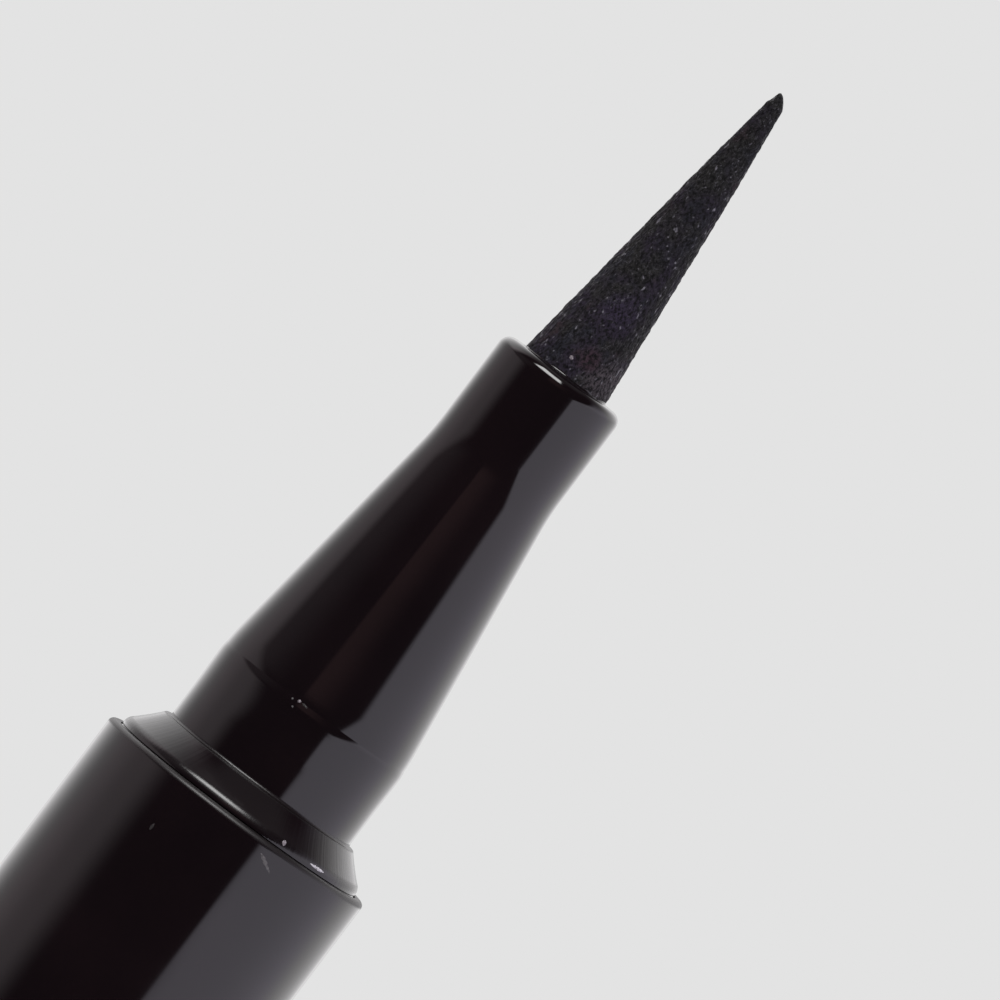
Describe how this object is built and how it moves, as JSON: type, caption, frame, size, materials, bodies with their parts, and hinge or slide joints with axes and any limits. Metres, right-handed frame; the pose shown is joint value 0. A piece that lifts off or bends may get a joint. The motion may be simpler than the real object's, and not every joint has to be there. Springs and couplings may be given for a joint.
{
  "type": "liquid eyeliner pen",
  "caption": "Slim gloss black liquid eyeliner pen with a conical felt nib, a tapered nose, a shoulder collar, and a cap posted on its tail as a stand.",
  "frame": {"origin": "middle of the cap's closed end, on the surface that the pen stands on", "axes": "+Z along the pen from the posted cap to the nib's tip; the pen is round, so +X and +Y are free"},
  "size_m": [0.0096, 0.0096, 0.1534],
  "materials": {
    "gloss_black": "polished",
    "felt": "compressed fibre, ink-soaked",
    "inner_plastic": "natural moulded",
    "seal_rubber": "matt",
    "steel": "bright"
  },
  "bodies": {
    "pen": {"felt_nib": "felt", "nib_retainer": "inner_plastic", "nose_cone": "gloss_black", "shoulder_collar": "gloss_black", "nose_o_ring": "seal_rubber", "feed_wick": "felt", "ink_collector": "inner_plastic", "tank_bulkhead": "inner_plastic", "bulkhead_o_ring": "seal_rubber", "ink_tank": "inner_plastic", "tank_plug": "inner_plastic", "tank_plug_o_ring": "seal_rubber", "barrel": "gloss_black", "tail_plug": "gloss_black"},
    "ball": {"mixing_ball": "steel"},
    "cap": {"cap_shell": "gloss_black", "cap_sleeve": "inner_plastic", "cap_spring": "steel"},
    "cup": {"seal_cup": "inner_plastic", "seal_ring": "seal_rubber"}
  },
  "joints": [
    {"name": "cap_pull", "type": "slide", "parent": "pen", "child": "cap", "axis": [0, 0, -1], "range_m": [0, 0.014]},
    {"name": "cup_press", "type": "slide", "parent": "cap", "child": "cup", "axis": [0, 0, -1], "range_m": [0, 0.0015], "stiffness_N_per_m": 300, "springref_m": -0.0025, "deforming": ["cap_spring"]},
    {"name": "ball_travel", "type": "slide", "parent": "pen", "child": "ball", "axis": [0, 0, 1], "range_m": [0, 0.045]}
  ]
}
